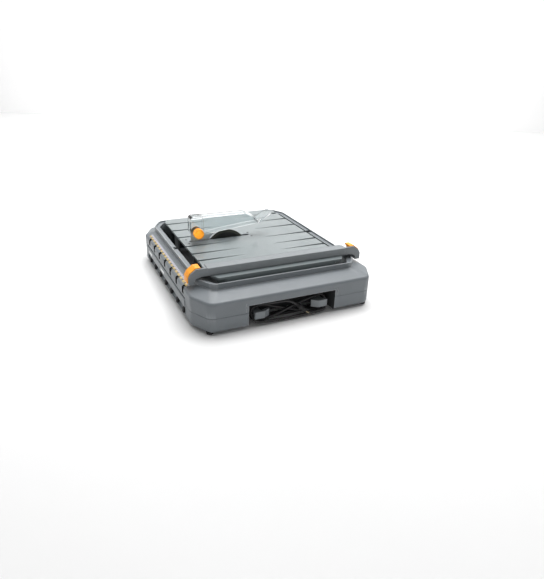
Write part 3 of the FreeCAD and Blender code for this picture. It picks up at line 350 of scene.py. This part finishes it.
def clear_plastic():
    look = Look("clear_plastic", (0.93, 0.96, 0.965), 0.05).mottled(30.0, 0.01)
    look.set("IOR", 1.49)
    look.set("Transmission Weight", 1.0)
    # White edges: a painted highlight along the guard's edges
    look.worn_and_lit_edges((1.0, 1.0, 1.0), 0.0012, 1.0)
    frosted = look.node("ShaderNodeMapRange")
    frosted.inputs["To Min"].default_value, frosted.inputs["To Max"].default_value = 0.03, 0.22
    look.link(look.edge, frosted.inputs["Value"])
    look.link(frosted.outputs["Result"], look.shader.inputs["Roughness"])
    return look.grained(60.0, 0.0001, 0.08)


def make_looks():
    black = (0.012, 0.012, 0.013)
    looks = [
        housing_plastic(),
        moulded("dark_plastic", (0.195, 0.213, 0.224), 0.42),
        moulded("black_plastic", black, 0.4),
        orange_plastic(),
        moulded("pale_plastic", (0.80, 0.82, 0.82), 0.4, (0.9, 0.9, 0.9)),
        moulded("black_rubber", black, 0.68, grain=800.0),
        moulded("cord_rubber", (0.014, 0.014, 0.015), 0.42, grain=1800.0),
        moulded("motor_paint", (0.03, 0.03, 0.034), 0.4),
        moulded("capacitor_can", (0.55, 0.55, 0.54), 0.3),
        brushed("zinc_steel", (0.60, 0.61, 0.62), 0.36, (700.0, 700.0, 700.0)),
        # Black screws: painted shade for the insert's dark holes
        brushed("hole_shade_black", (0.05, 0.05, 0.052), 0.45, (700.0, 700.0, 700.0)),
        brushed("bright_steel", (0.74, 0.75, 0.76), 0.34, (1200.0, 90.0, 1200.0)),
        brushed("aluminium", (0.62, 0.63, 0.65), 0.4, (500.0, 500.0, 500.0)),
        brushed("brass", (0.42, 0.36, 0.25), 0.4, (600.0, 600.0, 600.0)),
        coated_table(),
        satin_insert(),
        printed_tape(),
        rimmed_blade(),
        clear_plastic(),
    ]
    return {look.name: look.material for look in looks}


LOOKS = make_looks()


# Edge rounding of the CAD pieces, in metres; the ones not named here keep their own edges
ROUNDED = {
    "saw_table": 0.0008, "fence_bar": 0.0008, "fence_end_left": 0.0006, "fence_end_right": 0.0006,
    "fence_lever_left": 0.0006, "fence_lever_right": 0.0006, "blade_guard": 0.0006, "blade_insert": 0.0003,
    "carry_handle": 0.0008, "cord_hook_left": 0.0008, "cord_hook_right": 0.0008, "upper_housing": 0.0006,
    "base_tray": 0.0006, "side_ribs_left": 0.0008, "side_ribs_right": 0.0008, "switch_rocker": 0.0006,
    "switch_housing": 0.0005, "rubber_feet": 0.0008, "drain_plug": 0.0005, "handle_pads": 0.0002,
}


def dress_cad_nodes():
    """Each CAD node takes its finish; the outer ones get their sharp edges rounded."""
    slot_of = {part["node"]: part["material_slot"] for part in frame["record"]["subparts"]}
    for name, node in frame["nodes"].items():
        node.data.materials.clear()
        node.data.materials.append(LOOKS[OTHER_FINISH.get(name, slot_of[name])])
        if name in ROUNDED:
            weld = node.modifiers.new("weld", "WELD")
            weld.merge_threshold = 0.000002
            bevel = node.modifiers.new("rounded", "BEVEL")
            bevel.width, bevel.segments = ROUNDED[name], 2
            bevel.limit_method, bevel.angle_limit = "ANGLE", math.radians(35)
            bevel.use_clamp_overlap = True
            bevel.harden_normals = True


# ---------------------------------------------------------------- detailed pieces

def add_piece(name, mesh, slot, body, *nodes):
    """A drawn piece takes the place of CAD nodes on the body they belong to."""
    bmesh.ops.recalc_face_normals(mesh, faces=mesh.faces)
    data = bpy.data.meshes.new(name)
    mesh.to_mesh(data)
    mesh.free()
    for face in data.polygons:
        face.use_smooth = True
    data.set_sharp_from_angle(angle=math.radians(32))
    data.materials.append(LOOKS[slot])
    piece = bpy.data.objects.new(name, data)
    bpy.context.scene.collection.objects.link(piece)
    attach(piece, body)
    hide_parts(*nodes)
    return piece


def loft(rings):
    """A closed skin through rings of points, with a flat face over each end."""
    mesh = bmesh.new()
    rows = [[mesh.verts.new(point) for point in ring] for ring in rings]
    count = len(rows[0])
    for row, following in zip(rows, rows[1:]):
        for i in range(count):
            j = (i + 1) % count
            mesh.faces.new((row[i], row[j], following[j], following[i]))
    mesh.faces.new(rows[0])
    mesh.faces.new(rows[-1][::-1])
    return mesh


def knob_ring(y, radius, flute):
    """One ring of the knob; flute is how deep its fourteen hollows go."""
    points = []
    for i in range(140):
        turn = 2 * math.pi * i / 140
        hollow = flute * (0.5 + 0.5 * math.cos(14 * turn)) ** 1.6
        points.append((
            PIVOT[0] + (radius - hollow) * math.cos(turn), y, PIVOT[2] + (radius - hollow) * math.sin(turn),
        ))
    return points


def add_knob():
    """Fluted hand knob with a raised boss and a dished face, on a plain stem."""
    y = KNOB_Y0
    rings = [
        (y + 0.0003, 0.0012, 0), (y + 0.0003, 0.0072, 0), (y + 0.0006, 0.0076, 0), (y + 0.0006, 0.0080, 0),
        (y + 0.0001, 0.0084, 0), (y, 0.0106, 0), (y, 0.0116, 0.0001),
        (y + 0.0003, 0.0122, 0.0003), (y + 0.0009, 0.0128, 0.0006), (y + 0.0018, KNOB_R, 0.0008),
        (y + 0.0142, KNOB_R, 0.0008), (y + 0.0156, 0.0127, 0.0006), (y + 0.0166, 0.0120, 0.0003),
        (KNOB_Y1, 0.0108, 0), (KNOB_Y1, 0.0072, 0), (KNOB_Y1 + 0.0022, 0.0070, 0),
    ]
    add_piece("knob", loft([knob_ring(*ring) for ring in rings]), "orange_plastic", "knob", "guard_knob")


def oval(x, half_y, half_z, power=3.2, count=48):
    """A squared oval across X."""
    points = []
    for i in range(count):
        turn = 2 * math.pi * i / count
        c, s = math.cos(turn), math.sin(turn)
        along_y = math.copysign(abs(c) ** (2 / power), c) * half_y
        along_z = math.copysign(abs(s) ** (2 / power), s) * half_z
        points.append((x, along_y, along_z))
    return points


def add_plug():
    """Moulded plug: ribbed neck, finger grips and a flat face, hanging edge on at its lean."""
    rings = [oval(0.0, 0.0034, 0.0034, 2.0)]
    for i in range(4):
        x = 0.0012 + 0.0022 * i
        grow = 0.00035 * i
        rings += [oval(x + step, 0.0035 + grow, 0.0036 + grow, 2.0) for step in (0.0, 0.0010)]
        rings += [oval(x + step, 0.0030 + grow, 0.0031 + grow, 2.0) for step in (0.0012, 0.0020)]
    rings += [oval(0.0105, 0.0046, 0.0058, 2.6), oval(0.0130, 0.0052, 0.0076), oval(0.0150, 0.0054, 0.0081)]
    for i in range(4):
        x = 0.0165 + 0.0030 * i
        rings += [oval(x, 0.0054, 0.0084), oval(x + 0.0014, 0.0054, 0.0084)]
        rings += [oval(x + 0.0018, 0.0048, 0.0078), oval(x + 0.0026, 0.0048, 0.0078)]
    rings += [oval(0.0290, 0.0054, 0.0085), oval(0.0334, 0.0054, 0.0086), oval(0.0340, 0.0051, 0.0083)]
    lean, edge_on = math.radians(PLUG_LEAN), math.radians(90)
    placed = Matrix.Translation(PLUG_AT) @ Matrix.Rotation(lean, 4, "Y") @ Matrix.Rotation(edge_on, 4, "X")
    mesh = loft([[placed @ Vector(point) for point in ring] for ring in rings])
    add_piece("plug", mesh, "black_rubber", "housing", "plug_body")


def add_strain_relief():
    """Gland through the recess wall with a tapered, ribbed boot."""
    x, rings = GLAND_AT[0], []
    steps = [(-0.0060, 0.0072), (-0.0030, 0.0072), (-0.0030, 0.0055), (0.0, 0.0055), (0.0, 0.0068)]
    steps += [(0.0004, 0.0072), (0.0021, 0.0072), (0.0025, 0.0068), (0.0025, 0.0056)]
    for i in range(6):
        start, radius = 0.0045 + 0.0036 * i, 0.0054 - 0.00022 * i
        steps += [(start, radius), (start + 0.0018, radius)]
        steps += [(start + 0.0021, radius - 0.0008), (start + 0.0033, radius - 0.0008)]
    steps.append((0.0270, 0.0041))
    for along, radius in steps:
        ring = oval(x + along, radius, radius, 2.0)
        rings.append([(px, GLAND_AT[1] + py, GLAND_AT[2] + pz) for px, py, pz in ring])
    add_piece("cord_boot", loft(rings), "black_rubber", "housing", "strain_relief")


def add_camera():
    azimuth, elevation, roll = (math.radians(x) for x in (AZIMUTH, ELEVATION, ROLL))
    back = Vector((
        math.sin(azimuth) * math.cos(elevation), -math.cos(azimuth) * math.cos(elevation), math.sin(elevation),
    ))
    level = Vector((math.cos(azimuth), math.sin(azimuth), 0))
    upright = back.cross(level)
    right = level * math.cos(roll) + upright * math.sin(roll)
    up = upright * math.cos(roll) - level * math.sin(roll)
    data = bpy.data.cameras.new("camera")
    data.lens, data.sensor_width, data.clip_end = LENS, SENSOR, 20.0
    camera = bpy.data.objects.new("camera", data)
    camera.matrix_world = Matrix.Translation(Vector(AIM) + back * DISTANCE) @ Matrix(
        (right, up, back)).transposed().to_4x4()
    bpy.context.scene.collection.objects.link(camera)
    bpy.context.scene.camera = camera


def behind(distance):
    """A place on the floor straight behind the saw, as the camera sees it."""
    return math.sin(math.radians(-AZIMUTH)) * distance, math.cos(math.radians(AZIMUTH)) * distance


def add_light(name, place, aim, size, power, spread=180.0):
    data = bpy.data.lights.new(name, "AREA")
    data.size, data.energy, data.spread = size, power, math.radians(spread)
    light = bpy.data.objects.new(name, data)
    light.location = place
    light.rotation_euler = (Vector(aim) - Vector(place)).to_track_quat("-Z", "Y").to_euler()
    bpy.context.scene.collection.objects.link(light)


def add_sheet(name, place, turn, shade):
    bpy.ops.mesh.primitive_plane_add(size=14.0, location=place, rotation=turn)
    sheet = bpy.context.object
    sheet.name = name
    sheet.data.materials.append(Look(name, (shade, shade, shade), 0.8).mottled(3.0, 0.01).material)


def add_studio():
    """Pale floor, a pale wall far behind, soft white light mostly from above, and a little fill on the knob."""
    add_sheet("floor", (0, 0, 0), (0, 0, 0), 0.80)
    add_sheet("back_wall", (*behind(3.2), 7.0), (math.radians(90), 0, math.radians(AZIMUTH)), 0.95)
    world = bpy.data.worlds.new("studio")
    world.use_nodes = True
    world.node_tree.nodes["Background"].inputs["Color"].default_value = (1.0, 1.0, 1.0, 1.0)
    world.node_tree.nodes["Background"].inputs["Strength"].default_value = 0.23
    bpy.context.scene.world = world
    add_light("overhead", (0.6, 0.6, 3.1), (0.05, 0.2, 0.05), 2.4, 98.0)
    add_light("corner", (-0.8, -1.9, 0.6), (-0.2, -0.2, 0.05), 1.0, 4.0)
    add_light("wall_wash", (*behind(1.5), 2.6), (*behind(3.2), 0.6), 4.5, 108.0)
    add_light("knob_fill", (-0.42, -1.0, 0.30), (PIVOT[0], KNOB_Y1, PIVOT[2]), 0.03, 0.0065, 4.0)
    bpy.context.scene.view_settings.view_transform = "Standard"


# ---------------------------------------------------------------- cord

def winding_points():
    """Four turns round both hooks, hanging slack below them: two loops, an eight, and a last loop in front."""
    points = []
    over_right, up_left = (100, 62, 24, -14, -52, -90), (268, 232, 194, 156, 118, 82)
    for turn, (to_left, to_right) in enumerate(WINDING):
        depth, forward = FIRST_DEPTH - DEPTH_STEP * turn, FIRST_FORWARD + FORWARD_STEP * turn
        radius = TURN_RADIUS - TIGHTER * (turn % 2)
        points += [on_hook(HOOK_RIGHT, radius, angle, depth, forward) for angle in over_right]
        points += to_left
        round_left = up_left if to_left[1][2] < HOOK_Z else reversed(up_left)
        points += [on_hook(HOOK_LEFT, radius, angle, depth - LEFT_BEHIND, forward) for angle in round_left]
        points += to_right
    return points


def on_hook(x, radius, angle, depth, forward):
    """A point round a hook; under the hook the cord hangs a little slack, and forward by so much."""
    turned = math.radians(angle)
    under = max(0.0, -math.sin(turned))
    height = HOOK_Z + radius * math.sin(turned) - SLACK * under
    return (x + radius * math.cos(turned), depth - forward * under, height)


def add_cord():
    points = [(x, y + MOVED_Y, z) for x, y, z in CORD_LEAD + winding_points() + CORD_TAIL]
    curve = bpy.data.curves.new("power_cord_line", "CURVE")
    curve.dimensions = "3D"
    spline = curve.splines.new("NURBS")
    spline.points.add(len(points) - 1)
    for point, place in zip(spline.points, points):
        point.co = (*place, 1.0)
    spline.order_u = 3
    spline.use_endpoint_u = True
    curve.bevel_depth = CORD_RADIUS
    curve.bevel_resolution = 4
    curve.resolution_u = 8
    curve.use_fill_caps = True
    cord = bpy.data.objects.new("cord", curve)
    bpy.context.scene.collection.objects.link(cord)
    cord.data.materials.append(LOOKS["cord_rubber"])
    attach(cord, "housing")
    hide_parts("power_cord", "cord_tail", "cord_winding")


dress_cad_nodes()
add_knob()
add_plug()
add_strain_relief()
add_cord()
add_camera()
add_studio()
